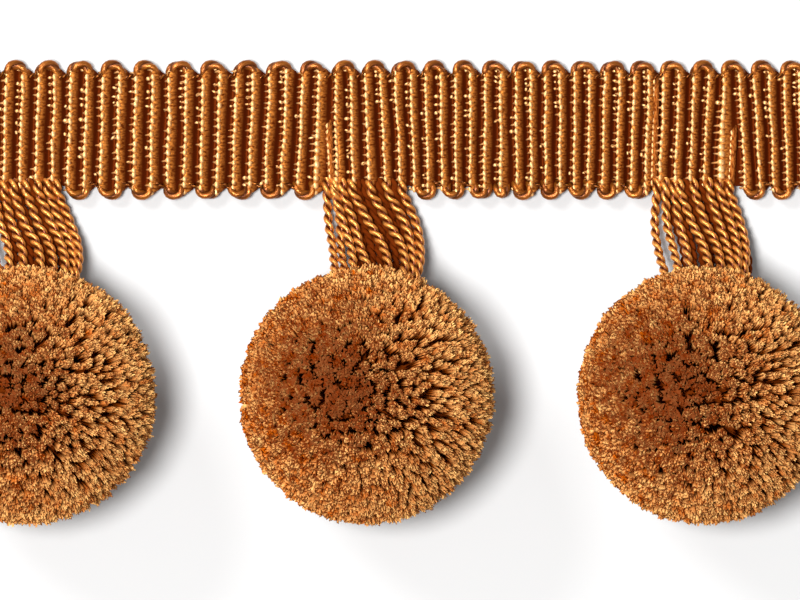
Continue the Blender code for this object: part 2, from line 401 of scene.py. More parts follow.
def sway(tree, geometry, scale, amount):
    """Moves the points by a smooth noise of that scale and amount."""
    noise = add(tree, "ShaderNodeTexNoise", {"Scale": scale, "Detail": 1.0}, noise_dimensions="3D")
    centred = add(tree, "ShaderNodeVectorMath", [noise.outputs["Color"], (0.5, 0.5, 0.5)],
                  operation="SUBTRACT")
    push = add(tree, "ShaderNodeVectorMath", {0: centred, "Scale": amount}, operation="SCALE")
    return add(tree, "GeometryNodeSetPosition", {"Geometry": geometry, "Offset": push})


def pile_tree():
    """Stands tufts on a heart, turned, leaned, cut unevenly, combed into clumps and pressed flat below."""
    tree, sizes = new_tree("cut_pile", Tufts="Collection", Spacing="Float", Unevenness="Float",
                           Lean="Float", Comb="Float", Curl="Float", Splay="Float", Gather="Float",
                           Seed="Int", Tie="Vector", Parting="Vector", Pocket_Middle="Vector",
                           Pocket_Size="Vector", Finish="Material")
    places = add(tree, "GeometryNodeDistributePointsOnFaces",
                 {"Mesh": sizes["Geometry"], "Distance Min": sizes["Spacing"], "Density Max": 3e7,
                  "Seed": sizes["Seed"]}, distribute_method="POISSON")
    where = add(tree, "GeometryNodeInputPosition")
    # no tuft where the cords run into the ball
    away = add(tree, "ShaderNodeVectorMath", [where, sizes["Pocket_Middle"]], operation="SUBTRACT")
    away = add(tree, "ShaderNodeVectorMath", [away, sizes["Pocket_Size"]], operation="DIVIDE")
    away = add(tree, "ShaderNodeVectorMath", [away], operation="ABSOLUTE")
    x, y, z = add(tree, "ShaderNodeSeparateXYZ", [away]).outputs
    furthest = add(tree, "ShaderNodeMath", [x, y], operation="MAXIMUM")
    furthest = add(tree, "ShaderNodeMath", [furthest, z], operation="MAXIMUM")
    inside = add(tree, "ShaderNodeMath", [furthest, 0.5], operation="LESS_THAN")
    clear = add(tree, "GeometryNodeDeleteGeometry", {"Geometry": places, "Selection": inside},
                domain="POINT")
    # each tuft turned and leaned a little, and cut to its own length
    least = add(tree, "ShaderNodeVectorMath", {0: (-1, -1, 0), "Scale": sizes["Lean"]}, operation="SCALE")
    most = add(tree, "ShaderNodeVectorMath", [(0, 0, 2 * math.pi), least], operation="SUBTRACT")
    tilt = add(tree, "FunctionNodeRandomValue", {0: least, 1: most, "Seed": sizes["Seed"]},
               data_type="FLOAT_VECTOR")
    outward = add(tree, "ShaderNodeVectorMath", [where, sizes["Tie"]], operation="SUBTRACT")
    parted = add(tree, "ShaderNodeVectorMath", [outward, sizes["Parting"]], operation="MULTIPLY")
    upright = add(tree, "FunctionNodeAlignRotationToVector", {"Vector": parted}, axis="Z")
    turn = add(tree, "FunctionNodeRotateRotation", {"Rotation": upright, "Rotate By": tilt},
               rotation_space="LOCAL")
    least, most = [add(tree, "ShaderNodeMath", [1.0, sizes["Unevenness"]], operation=way)
                   for way in ("SUBTRACT", "ADD")]
    length = add(tree, "FunctionNodeRandomValue", {2: least, 3: most, "Seed": sizes["Seed"]})
    # wider tufts on the left, and narrower ones with gaps round them on the right
    across = add(tree, "ShaderNodeSeparateXYZ", [outward])
    side = add(tree, "ShaderNodeMapRange",
               {"Value": across, "From Min": -SIDE_REACH, "From Max": SIDE_REACH})
    splay = add(tree, "ShaderNodeMath", [side, sizes["Gather"], sizes["Splay"]], operation="MULTIPLY_ADD")
    scale = add(tree, "ShaderNodeCombineXYZ", [splay, splay, length.outputs[1]])
    kind = add(tree, "FunctionNodeRandomValue", {4: 0, 5: TUFT_VARIANTS - 1, "Seed": sizes["Seed"]},
               data_type="INT")
    tufts = set_out(tree, clear, sizes["Tufts"], kind.outputs[2], turn, scale)
    # painted light: tufts on the right are painted paler and those on the left darker and redder, for how
    # the light falls along their fibres; the other half of the tone differs at random
    tone = add(tree, "FunctionNodeRandomValue", {2: 0.0, 3: 0.5, "Seed": 11})
    tone = add(tree, "ShaderNodeMath", [side, 0.5, tone.outputs[1]], operation="MULTIPLY_ADD")
    toned = add(tree, "GeometryNodeStoreNamedAttribute", {"Geometry": tufts, "Name": "tone", "Value": tone},
                domain="INSTANCE")
    solid = add(tree, "GeometryNodeRealizeInstances", {"Geometry": toned})
    # neighbouring tufts lean together, which opens gaps between the clumps, and then the fibres bend
    rise, tone = [add(tree, "GeometryNodeInputNamedAttribute", {"Name": label})
                  for label in ("rise", "tone")]
    comb = add(tree, "ShaderNodeMath", [rise, sizes["Comb"]], operation="MULTIPLY")
    combed = sway(tree, solid, CLUMP_SCALE, comb)
    loose = add(tree, "ShaderNodeMapRange", {"Value": tone, "To Min": 1.0, "To Max": STRAIGHTEST})
    curl = add(tree, "ShaderNodeMath", [rise, sizes["Curl"]], operation="MULTIPLY")
    curl = add(tree, "ShaderNodeMath", [loose, curl], operation="MULTIPLY")
    curled = sway(tree, combed, BEND_SCALE, curl)
    # the ball's own weight presses its underside flat on the table
    x, y, z = add(tree, "ShaderNodeSeparateXYZ", [where]).outputs
    lifted = add(tree, "ShaderNodeMath", [z, 0.0], operation="MAXIMUM")
    pressed = add(tree, "ShaderNodeCombineXYZ", [x, y, lifted])
    rested = add(tree, "GeometryNodeSetPosition", {"Geometry": curled, "Position": pressed})
    end_tree(tree, rested, sizes["Finish"])
    return tree


# %% [markdown]
# The balls are the same size, a little pressed on their undersides by their own weight. Each has its own
# seed, so no two match. A thin box at the top of each is left bare, where its cords run in to the knot.

# %% The balls
BALL_WIDTH = 30.5 * MM
BALL_FLAT = 10 * MM
TIE_OFFSET = (-2.5 * MM, 0.5 * MM, 0)  # the knot that the ends point away from isn't quite in the middle
PARTING = (1, 1, 0.6)  # the ends part above the knot and below it, and lie over sideways
POCKET_RISE = 8.6 * MM  # the height at which the cords run in
POCKET_HEIGHT = 2.4 * MM
POCKET_MARGIN = 1.2 * MM  # how much narrower it is than the hanger, on each side
SHADE_SIZE = 1.02  # of the heart that shows, which hides the roots, as a share of the one that bears them


def ellipsoid(name, middle, radii, rings=24):
    """A closed sphere-like mesh of quads, stretched to those radii."""
    points = [(0, 0, -1)]
    for i in range(1, rings):
        lift = math.pi * i / rings
        points += [(math.sin(lift) * math.cos(a), math.sin(lift) * math.sin(a), -math.cos(lift))
                   for a in np.arange(2 * rings) * math.pi / rings]
    points.append((0, 0, 1))
    count, last = 2 * rings, len(points) - 1
    faces = [(0, 1 + (j + 1) % count, 1 + j) for j in range(count)]
    for i in range(rings - 2):
        a, b = 1 + i * count, 1 + (i + 1) * count
        faces += [(a + j, a + (j + 1) % count, b + (j + 1) % count, b + j) for j in range(count)]
    faces += [(last, last - count + j, last - count + (j + 1) % count) for j in range(count)]
    return mesh_object(name, np.array(points) * radii + np.array(middle), faces)


def collect(name, made):
    """Moves the objects out of the scene into a collection that a tree can pick from."""
    kept = bpy.data.collections.new(name)
    for obj in made:
        bpy.context.scene.collection.objects.unlink(obj)
        kept.objects.link(obj)
    return kept


length = (1 - HEART_SIZE) * BALL_WIDTH / 2
tufts = collect("tufts", [tuft(f"tuft_{variant}", length, variant) for variant in range(TUFT_VARIANTS)])
pile = pile_tree()
for number in (1, 2, 3):
    low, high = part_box(f"ball_{number}")
    radii = Vector((high.x - low.x, high.y - low.y, BALL_WIDTH)) / 2
    lift = math.sqrt((BALL_WIDTH / 2) ** 2 - (BALL_FLAT / 2) ** 2)
    middle = Vector(((low.x + high.x) / 2, (low.y + high.y) / 2, lift))
    left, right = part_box(f"hanger_{number}")
    heart = ellipsoid("heart", middle, np.array(radii) * HEART_SIZE)
    ball = grow(f"pile_ball_{number}", heart, pile, Tufts=tufts, Spacing=0.63 * MM, Unevenness=0.07,
                Lean=0.24, Comb=0.6 * MM, Curl=0.45 * MM, Splay=2.0, Gather=-1.25, Seed=number,
                Tie=middle + Vector(TIE_OFFSET), Parting=PARTING,
                Pocket_Middle=((left.x + right.x) / 2, (left.y + right.y) / 2, POCKET_RISE),
                Pocket_Size=(right.x - left.x - 2 * POCKET_MARGIN, right.y - left.y, POCKET_HEIGHT),
                Finish=pile_yarn)
    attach(ball, "root")
    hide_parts(f"ball_{number}")
    heart = ellipsoid(f"heart_{number}", middle, np.array(radii) * HEART_SIZE * SHADE_SIZE, rings=16)
    heart.data.materials.append(heart_yarn)
    heart.data.shade_smooth()
    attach(heart, "root")
bpy.data.collections.remove(tufts)

# %% [markdown]
# ## Twisted cords
# The hangers and the scalloped edges are cords of two plies twisted together. A twist drawn with bump would
# leave a smooth outline, so one tree makes them all: it runs the section of the plies along a curve and
# tilts it steadily, so that the plies wind round each other as real ones do, and each keeps its own gloss.


# %% The tree that twists plies
def cord_tree():
    """Twists plies along each spline of a curve, from a start of its own."""
    tree, sizes = new_tree("plied_cord", Plies="Int", Ply_Radius="Float", Ply_Offset="Float", Twist="Float",
                           Step="Float", Seed="Int", Finish="Material")
    # the section: one small ring for each ply, pressed together
    number = add(tree, "GeometryNodeInputIndex")
    share = add(tree, "ShaderNodeMath", [number, sizes["Plies"]], operation="DIVIDE")
    angle = add(tree, "ShaderNodeMath", [share, 2 * math.pi], operation="MULTIPLY")
    x, y = [add(tree, "ShaderNodeMath", [angle], operation=way) for way in ("COSINE", "SINE")]
    spot = add(tree, "ShaderNodeCombineXYZ", [x, y])
    spot = add(tree, "ShaderNodeVectorMath", {0: spot, "Scale": sizes["Ply_Offset"]}, operation="SCALE")
    spots = add(tree, "GeometryNodePoints", {"Count": sizes["Plies"], "Position": spot})
    ring = add(tree, "GeometryNodeCurvePrimitiveCircle", {"Resolution": 8, "Radius": sizes["Ply_Radius"]})
    plies = add(tree, "GeometryNodeInstanceOnPoints", {"Points": spots, "Instance": ring})
    section = add(tree, "GeometryNodeRealizeInstances", {"Geometry": plies})
    place = add(tree, "GeometryNodeInputPosition")
    length = add(tree, "ShaderNodeVectorMath", [place], operation="LENGTH").outputs["Value"]
    radius = add(tree, "ShaderNodeMath", [sizes["Ply_Radius"], sizes["Ply_Offset"]], operation="ADD")
    # `rise` is how far out from the cord's middle a point is, and the finishes paint shade where it is low,
    # between the plies
    rise = add(tree, "ShaderNodeMath", [length, radius], operation="DIVIDE")
    for label, value, kind in (("section", place, "FLOAT_VECTOR"), ("rise", rise, "FLOAT")):
        section = add(tree, "GeometryNodeStoreNamedAttribute",
                      {"Geometry": section, "Name": label, "Value": value}, data_type=kind)
    # the route, in even steps, each turned a little further than the last
    route = add(tree, "GeometryNodeResampleCurve", {"Curve": sizes["Geometry"], "Length": sizes["Step"]},
                mode="LENGTH")
    walked = add(tree, "GeometryNodeSplineParameter").outputs["Length"]
    which = add(tree, "GeometryNodeCurveOfPoint")
    start = add(tree, "FunctionNodeRandomValue",
                {2: 0.0, 3: 2 * math.pi, "ID": which, "Seed": sizes["Seed"]})
    tilt = add(tree, "ShaderNodeMath", [walked, sizes["Twist"], start.outputs[1]], operation="MULTIPLY_ADD")
    route = add(tree, "GeometryNodeSetCurveTilt", {"Curve": route, "Tilt": tilt})
    tone = add(tree, "FunctionNodeRandomValue", {2: 0.0, 3: 1.0, "ID": which, "Seed": 5})
    for label, value in (("along", walked), ("tone", tone.outputs[1])):
        route = add(tree, "GeometryNodeStoreNamedAttribute",
                    {"Geometry": route, "Name": label, "Value": value})
    cord = add(tree, "GeometryNodeCurveToMesh",
               {"Curve": route, "Profile Curve": section, "Fill Caps": True})
    end_tree(tree, cord, sizes["Finish"])
    return tree


cord = cord_tree()


def twist(name, routes, radius, share, lay, step, finish, seed, plies=2):
    """Cords of that radius along smooth curves through the points of the routes. Their plies have that
    share of the radius and turn once in each lay."""
    data = bpy.data.curves.new("routes", "CURVE")
    data.dimensions = "3D"
    data.resolution_u = 8
    for route in routes:
        spline = data.splines.new("BEZIER")
        spline.bezier_points.add(len(route) - 1)
        for point, place in zip(spline.bezier_points, route):
            point.co = place
            point.handle_left_type = point.handle_right_type = "AUTO"
    return grow(name, put("routes", data), cord, Plies=plies, Ply_Radius=radius * share,
                Ply_Offset=radius * (1 - share), Twist=-2 * math.pi / lay, Step=step, Seed=seed,
                Finish=finish)


# %% [markdown]
# ## The braid
# The braid is woven. Thick gimp cords run to and fro across it and turn back at both edges, which makes the
# scallops. Fine warp threads run along it and bind the gimp down. Each comes up out of a groove, bends
# sharply over the left shoulder of a rib, and then lies flat down the rib's long right side. Where it bends
# it catches the light and is painted paler as a highlight, and that row of bright beads is what the eye
# reads first.
#
# An array would space the ribs evenly, and on the real braid they aren't even. So two short tables say
# where each stretch of ribs and scallops ends, the same ones that the solid was built from.


# %% Where the ribs lie
class Run(NamedTuple):
    """A run of evenly spaced ribs and scallops along one edge of the heading, from the left."""

    end: float
    ribs: int
    scallops: int  # none where a hanger leaves the edge


UPPER_EDGE = [
    Run(-8.1 * MM, 26, 13),
    Run(60.0 * MM, 38, 19),
]
LOWER_EDGE = [
    Run(-48.0 * MM, 6, 3),
    Run(-36.5 * MM, 6, 0),
    Run(-5.5 * MM, 16, 8),
    Run(5.3 * MM, 5, 0),
    Run(15.2 * MM, 6, 3),
    Run(16.9 * MM, 1, 1),
    Run(33.8 * MM, 10, 5),
    Run(44.5 * MM, 5, 0),
    Run(58.1 * MM, 8, 4),
    Run(60.0 * MM, 1, 1),
]
print("ribs at the two edges:", sum(run.ribs for run in UPPER_EDGE), sum(run.ribs for run in LOWER_EDGE))

# %% [markdown]
# Hand tension pulls the ribs out of line, most of all where a hanger is woven in and strains them. A noise
# would spread that evenly, so a table says how far the heads and the feet are pulled at a few places along
# the trim, and the ribs between them follow. Each rib also wanders a little on its own.


# %% How the ribs are pulled
WANDER = 0.07 * MM
WANDER_LENGTH = 1.5 * MM


class Pull(NamedTuple):
    """How far right hand tension has pulled the ribs at one place along the trim, all in mm: their heads at
    the upper edge, and their feet at the lower edge."""

    place: float
    head: float
    foot: float


PULLS = [
    Pull(-44, 0.5, 0.3),
    Pull(-30, 0.0, 0.3),
    Pull(-23, 0.0, 0.65),
    Pull(-7, 0.0, 0.65),
    Pull(-5, 0.3, 1.6),
    Pull(-3, 0.3, 1.1),
    Pull(2, 0.3, 0.7),
    Pull(5.5, 0.3, -0.1),
    Pull(14, 0.3, 0.0),
    Pull(17, 0.3, 0.6),
    Pull(34, 0.1, 0.7),
    Pull(38.5, 0.1, 0.0),
    Pull(42.5, 0.1, -1.1),
    Pull(44.6, 0.1, 0.3),
    Pull(60, 0.1, 0.0),
]


def pull(side, place):
    """How far the heads or the feet are pulled at that place along the trim."""
    return MM * float(np.interp(place / MM, [p.place for p in PULLS], [getattr(p, side) for p in PULLS]))


heading_low, heading_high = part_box("heading")
LEFT = heading_low.x
FOOT, TOP = heading_low.y, heading_high.y
THICKNESS = heading_high.z
RIBS = sum(run.ribs for run in UPPER_EDGE)


def place_in_run(edge, rib):
    """The run that a rib is in, where that run starts, and how many ribs into it the rib is."""
    start = LEFT
    for run in edge:
        if rib <= run.ribs:
            break
        rib -= run.ribs
        start = run.end
    return run, start, rib


def edge_place(edge, rib):
    """How far along the trim an edge is, that many ribs from the left end."""
    run, start, inside = place_in_run(edge, rib)
    return start + inside / run.ribs * (run.end - start)


def rib_place(rib, y):
    """How far along the trim a rib is, at that distance up the trim."""
    share = (y - FOOT) / (TOP - FOOT)
    sway = share * share * (3 - 2 * share)
    low, high = edge_place(LOWER_EDGE, rib), edge_place(UPPER_EDGE, rib)
    wander = WANDER * math.sin(y / WANDER_LENGTH + 1.9 * rib) * math.sin(0.9 * rib + 1)
    strain = pull("foot", low) * (1 - sway) + pull("head", high) * sway
    inside = min(1.0, rib, RIBS - rib)
    return low + sway * (high - low) + inside * (wander + strain)


print(f"{RIBS} ribs, {(heading_high.x - LEFT) / RIBS / MM:.2f} mm apart on average")

# %% [markdown]
# The ground of the braid is the row of gimp cords, wound so closely with filament that each rib looks
# smooth. Separate cords would leave slits between them, so it is one closed sheet with the ribs' rise and
# fall. Its edges follow the scallops, because the ribs end where the gimp turns back.


# %% The section of a rib
# across a rib in shares of its width, and up in shares of the braid's thickness
RIB_SECTION = [(-0.50, 0.30), (-0.42, 0.34), (-0.37, 0.58), (-0.33, 0.78), (-0.28, 0.87), (-0.20, 0.90),
               (-0.10, 0.87), (0.01, 0.79), (0.12, 0.68), (0.23, 0.56), (0.33, 0.44), (0.42, 0.34),
               (0.50, 0.30)]
SCALLOP_MARGIN = 0.5 * MM  # from a scallop's tip to the end of the ribs inside it
NOTCH_DEPTH = 0.75 * MM  # how much further in the ribs end between two scallops
HANGER_MARGIN = 1.3 * MM  # where the hangers leave the edge
RIB_DROOP = 0.28  # how far a rib's end drops to meet the gimp's turn, as a share of its height
DROOP_LENGTH = 1.6 * MM
GROUND_ROWS = 13  # the points along a rib, closest together at its ends
GROUND_BASE = 0.02 * MM


def margin(edge, rib):
    """How far the ribs end from the tips of the scallops."""
    run, _, inside = place_in_run(edge, rib)
    if not run.scallops:
        return HANGER_MARGIN
    turn = 2 * math.pi * inside * run.scallops / run.ribs
    return SCALLOP_MARGIN + NOTCH_DEPTH * (0.5 + 0.5 * math.cos(turn)) ** 3


def rib_height(height, y, low, high):
    """The height of a place on a rib's section in metres, at that distance between the rib's two ends."""
    end = min(1.0, max(0.0, min(y - low, high - y) / DROOP_LENGTH))
    return height * THICKNESS * (1 - RIB_DROOP * (1 - end) ** 2)


def loft(rings, sides):
    """The faces that join that many rings of that many points each into a closed solid."""
    faces = [(a + k, a + sides + k, a + sides + (k + 1) % sides, a + (k + 1) % sides)
             for a in range(0, (rings - 1) * sides, sides) for k in range(sides)]
    last = (rings - 1) * sides
    return [*faces, tuple(range(sides)), tuple(range(last, last + sides)[::-1])]


def ground():
    """The closed ground of the braid, ribbed above and flat beneath."""
    columns = [(rib + 0.5 + across, height) for rib in range(RIBS) for across, height in RIB_SECTION[:-1]]
    columns.append((RIBS, RIB_SECTION[-1][1]))
    shares = [0.5 - 0.5 * math.cos(math.pi * j / (GROUND_ROWS - 1)) for j in range(GROUND_ROWS)]
    points, rise = [], []
    for rib, height in columns:
        low, high = FOOT + margin(LOWER_EDGE, rib), TOP - margin(UPPER_EDGE, rib)
        ys = [low + (high - low) * share for share in shares]
        points += [(rib_place(rib, y), y, rib_height(height, y, low, high)) for y in ys]
        points += [(rib_place(rib, y), y, GROUND_BASE) for y in (ys[-1], ys[0])]
        # `rise` is the height on the rib's section, and the finish paints shade where it is low, in the
        # grooves
        rise += [height] * GROUND_ROWS + [0, 0]
    faces = loft(len(columns), GROUND_ROWS + 2)
    return mesh_object("braid_ground", points, faces, {"section": [(y, 0, 0) for _, y, _ in points],
                                                       "along": [x for x, _, _ in points], "rise": rise})


braid_ground = ground()
braid_ground.data.shade_smooth()
braid_ground.data.materials.append(rib_rayon)
print(f"ground: {len(braid_ground.data.polygons)} faces")

# %% [markdown]
# In three of the wider grooves a thin extra rib starts at the lower edge and dies out before the upper one,
# where the weaver added a pick. The ground could carry them as one more column, but they lie over it, so
# each is a cord of its own on a route of five points.


# %% The half ribs
class HalfRib(NamedTuple):
    """A thin extra rib in a wide groove, in mm: where its head and its foot are along the trim, and how far
    up the trim its head is."""

    head: float
    foot: float
    top: float


HALF_RIBS = [HalfRib(-4.6, -4.2, 20.6), HalfRib(34.5, 34.2, 26.0), HalfRib(43.8, 43.4, 20.0)]
HALF_RIB_RADIUS = 0.48 * MM
HALF_RIB_HEIGHT = 1.2 * MM
HALF_RIB_FOOT = 1.4  # how far its foot is from the lower edge, in mm


def half_rib_route(half):
    """The points of a half rib's core, from its foot up to where it sinks between its neighbours."""
    foot = FOOT / MM + HALF_RIB_FOOT
    return [Vector((half.foot + (half.head - half.foot) * share, foot + (half.top - foot) * share, 0)) * MM
            + Vector((0, 0, HALF_RIB_HEIGHT - drop * MM))
            for share, drop in ((0.0, 0.5), (0.12, 0.0), (0.5, 0.0), (0.88, 0.0), (1.0, 0.7))]


print(len(HALF_RIBS), "half ribs")

# %% [markdown]
# A warp float is the bit of warp thread that shows on a rib: a thin neck out of the groove, a broad bend
# over the shoulder, and an end that sinks into the winding. Shorter threads show at the bottom of some
# grooves. A thread could run the whole length of the braid, but most of it would be hidden. So only what
# shows is made, and Geometry Nodes set one of a few shapes on every crossing.


# %% The shapes of the warp
class Ring(NamedTuple):
    """A ring round a float: across the rib in shares of its width, its height in shares of the braid's
    thickness, its width in shares of the pitch, and its share of painted highlight, most where it bends."""

    across: float
    height: float
    width: float
    painted_highlight: float


WARP_FLOAT = [
    Ring(-0.60, 0.52, 0.16, 0.1),
    Ring(-0.54, 0.80, 0.24, 0.5),
    Ring(-0.42, 0.93, 0.32, 0.9),
    Ring(-0.385, 0.96, 0.84, 1.0),
    Ring(-0.33, 1.00, 1.00, 1.0),
    Ring(-0.25, 1.00, 1.04, 1.0),
    Ring(-0.15, 0.95, 0.98, 0.5),
    Ring(-0.05, 0.77, 0.84, 0.0),
]
NECK_RINGS = 3  # the rings of a float that make its neck
GROOVE_THREAD = [
    Ring(-0.19, 0.52, 0.18, 0.3),
    Ring(-0.13, 0.66, 0.36, 0.8),
    Ring(-0.05, 0.71, 0.44, 1.0),
    Ring(0.05, 0.70, 0.40, 1.0),
    Ring(0.13, 0.64, 0.32, 0.8),
    Ring(0.19, 0.50, 0.16, 0.3),
]
# one side of the thread to the other: across it in shares of its width, and down in shares of its depth
THREAD_SECTION = [(-0.50, -1.0), (-0.46, -0.40), (-0.26, -0.05), (0.26, -0.05), (0.46, -0.40), (0.50, -1.0)]
THREAD_DEPTH = 0.13  # as a share of the braid's thickness
RIB_WIDTH, RIB_HEIGHT = 1.85, 2.4  # of a usual rib in mm, so that a shape is as thick all along
FLOAT_KINDS = [(0.3, 0.0), (0.75, 0.1), (1.0, -0.15), (1.0, 0.2), (1.25, 0.0), (1.4, 0.25)]


def thread_shape(name, rings, neck=1.0, lean=0.0):
    """A thread over a rib one unit wide and one unit high, its neck that long and leaning that far."""
    points, section, along, rise = [], [], [], []
    for i, ring in enumerate(rings):
        before, after = rings[max(i - 1, 0)], rings[min(i + 1, len(rings) - 1)]
        way = np.array(((after.across - before.across) * RIB_WIDTH,
                        (after.height - before.height) * RIB_HEIGHT))
        way /= np.linalg.norm(way)
        past = min(0.0, ring.across - rings[NECK_RINGS].across)
        x = ring.across - past + past * neck
        for side, drop in THREAD_SECTION:
            out = THREAD_DEPTH * drop * min(1.0, ring.width * 1.5)
            points.append((x - way[1] * out * RIB_HEIGHT / RIB_WIDTH, side * ring.width + past * lean * 2,
                           ring.height + way[0] * out))
            section.append((side * MM, out * MM, 0))
            along.append(x * RIB_WIDTH * MM)
            # the painted highlight goes in `rise`, so the finish paints the rest of the thread darker
            rise.append(ring.painted_highlight)
    faces = loft(len(rings), len(THREAD_SECTION))
    return mesh_object(name, points, faces, {"section": section, "along": along, "rise": rise})


def warp_tree():
    """Sets one of a collection's shapes on each point, of the kind, size and turn that the point says."""
    tree, sizes = new_tree("warp", Shapes="Collection", Finish="Material")
    kind, size, turn = [add(tree, "GeometryNodeInputNamedAttribute", {"Name": label}, data_type=form)
                        for label, form in (("kind", "FLOAT"), ("size", "FLOAT_VECTOR"),
                                            ("turn", "FLOAT_VECTOR"))]
    kind = add(tree, "FunctionNodeFloatToInt", [kind], rounding_mode="ROUND")
    turn = add(tree, "FunctionNodeEulerToRotation", [turn])
    placed = set_out(tree, sizes["Geometry"], sizes["Shapes"], kind, turn, size)
    tone = add(tree, "FunctionNodeRandomValue", {2: 0.0, 3: 1.0, "Seed": 8})
    toned = add(tree, "GeometryNodeStoreNamedAttribute",
                {"Geometry": placed, "Name": "tone", "Value": tone.outputs[1]}, domain="INSTANCE")
    end_tree(tree, toned, sizes["Finish"])
    return tree


# %% The warp
WARP_PITCH = 0.77 * MM  # between the threads that cross one rib
CREST = 0.3  # how far across a rib its crest is, in shares of its width
LOWER_INSET, UPPER_INSET = 0.15 * MM, 0.35 * MM  # from a rib's two ends to its first and last thread
GROOVE_TOP = 0.35  # the share of the braid's width that counts as near the top
# how likely a thread is in a groove, by whether it is near the top, and whether it is inside a scallop
GROOVE_CHANCE = {(True, True): 0.65, (True, False): 0.117, (False, True): 0.195, (False, False): 0.078}
HALF_RIB_PITCH = 0.75  # in mm
HALF_RIB_THREAD = (1.25 * MM, 0.7 * MM)  # the width of rib that its threads bend over, and their own


def crossings():
    """Where the warp crosses ribs and grooves, as points with the kind, size and turn of each thread."""
    draw = np.random.default_rng(4)
    threads = []
    for rib in range(RIBS):
        low = FOOT + margin(LOWER_EDGE, rib + CREST) + LOWER_INSET
        high = TOP - margin(UPPER_EDGE, rib + CREST) - UPPER_INSET
        pitch = WARP_PITCH * draw.uniform(0.9, 1.12)
        slant = draw.normal(0, 0.10)
        count = int((high - low) / pitch)
        for i in range(count + 1):
            y = low + (high - low) * i / count + draw.normal(0, 0.05 * MM)
            left, right = rib_place(rib, y), rib_place(rib + 1, y)
            lift = rib_height(1.0, y, low, high) * draw.uniform(0.985, 1.0)
            threads.append((((left + right) / 2 + draw.normal(0, 0.03 * MM), y, 0),
                            draw.integers(len(FLOAT_KINDS)),
                            (right - left, pitch * draw.uniform(0.92, 1.1), lift),
                            (0, 0, slant + draw.normal(0, 0.05))))
            near_top = (TOP - y) / (TOP - FOOT) < GROOVE_TOP
            inside_scallop = rib % 2 == 1
            if draw.random() < GROOVE_CHANCE[near_top, inside_scallop]:
                threads.append(((left - 0.10 * MM, y + draw.normal(0, 0.1 * MM), 0),
                                len(FLOAT_KINDS) + draw.integers(2),
                                ((right - left) * draw.uniform(0.6, 1.25), pitch * draw.uniform(0.7, 1.5),
                                 lift * draw.uniform(0.85, 1.0)),
                                (0, 0, draw.normal(0, 0.4))))
    for half in HALF_RIBS:
        foot = FOOT / MM + HALF_RIB_FOOT + 0.3
        for y in np.arange(foot, half.top, HALF_RIB_PITCH):
            x = np.interp(y, [foot, half.top], [half.foot, half.head]) + 0.1
            threads.append(((x * MM, y * MM, 0),
                            draw.integers(len(FLOAT_KINDS)),
                            (*HALF_RIB_THREAD, (HALF_RIB_HEIGHT + HALF_RIB_RADIUS) * 1.04),
                            (0, 0, draw.normal(0, 0.15))))
    places, kinds, sizes, turns = zip(*threads)
    return mesh_object("crossings", places, [], {"kind": kinds, "size": sizes, "turn": turns})


shapes = [thread_shape(f"float_{i}", WARP_FLOAT, *kind) for i, kind in enumerate(FLOAT_KINDS)]
shapes += [thread_shape(f"groove_{i}", GROOVE_THREAD) for i in range(2)]
threads = collect("threads", shapes)
braid_warp = grow("braid_warp", crossings(), warp_tree(), Shapes=threads, Finish=braid_rayon)

# %% [markdown]
# At both edges the gimp comes out from under the winding as a twisted cord, turns and goes back in, and a
# finer cord ties each scallop to the next. Each turn is a route through a few points round its two ribs,
# because half a ring would miss the way that it squeezes in at its feet. The routes then go through the
# tree of the cords.

# %% The gimp cord at both edges
GIMP_RADIUS = 0.62 * MM
GIMP_LAY = 4.8 * MM
GIMP_PLY_SHARE = 0.66  # a ply's radius as a share of the cord's, where the plies are pressed together
PLY_SHARE = 0.60
UPPER_RISE = 1.0 * MM
LOWER_RISE = 0.95 * MM
GIMP_HEIGHT = 1.35 * MM
EDGE_PROUD = 0.4 * MM  # how far the thread scallops stand proud of the solid
TIE_RADIUS = 0.26 * MM
TIE_LAY = 1.4 * MM
UPPER_SHIFT = -0.4 * MM  # the upper turns sit over the crests of their ribs, which are left of the middles
LEG_SINK = 1.4 * MM  # how steeply a turn's legs go down into the winding
# across in shares of the loop, and out in shares of its rise
LOOP = [(-0.94, -1.6), (-1.0, -1.05), (-0.93, -0.55), (-0.6, -0.12), (0.0, 0.0), (0.6, -0.12),
        (0.93, -0.55), (1.0, -1.05), (0.94, -1.6)]
# right of the notch between two scallops, in from their tips and above the table, in mm
TIE_ROUTE = [(-1.0, 2.1, 1.0), (-0.45, 1.65, 1.75), (0.1, 1.5, 1.8), (0.5, 1.15, 1.6), (0.8, 1.0, 0.9)]


def scallop_ends(edge):
    """The left and right end of every scallop along an edge, and whether another follows it."""
    rib = 0
    for run in edge:
        for scallop in range(run.scallops):
            first = rib + scallop * run.ribs / run.scallops
            last = first + run.ribs / run.scallops
            yield edge_place(edge, first), edge_place(edge, last), scallop + 1 < run.scallops
        rib += run.ribs


def loops(edge, y, way, spread, rise, shift):
    """The routes of the gimp cord's turns along one edge, each out round two ribs and back."""
    made = []
    for left, right, _ in scallop_ends(edge):
        tip = y - way * (GIMP_RADIUS - EDGE_PROUD)
        centre, reach = (left + right) / 2 + shift((left + right) / 2), (right - left) / 2 * spread
        made.append([Vector((centre + reach * x, tip + way * rise * out,
                             GIMP_HEIGHT - LEG_SINK * max(0, -out - 0.9))) for x, out in LOOP])
    return made


def ties(edge, y, way):
    """The routes of the fine cords that tie each scallop of an edge to the next."""
    made = []
    for _, right, follows in scallop_ends(edge):
        if follows:
            made.append([Vector((right + x * MM, y - way * out * MM, lift * MM))
                         for x, out, lift in TIE_ROUTE])
    return made


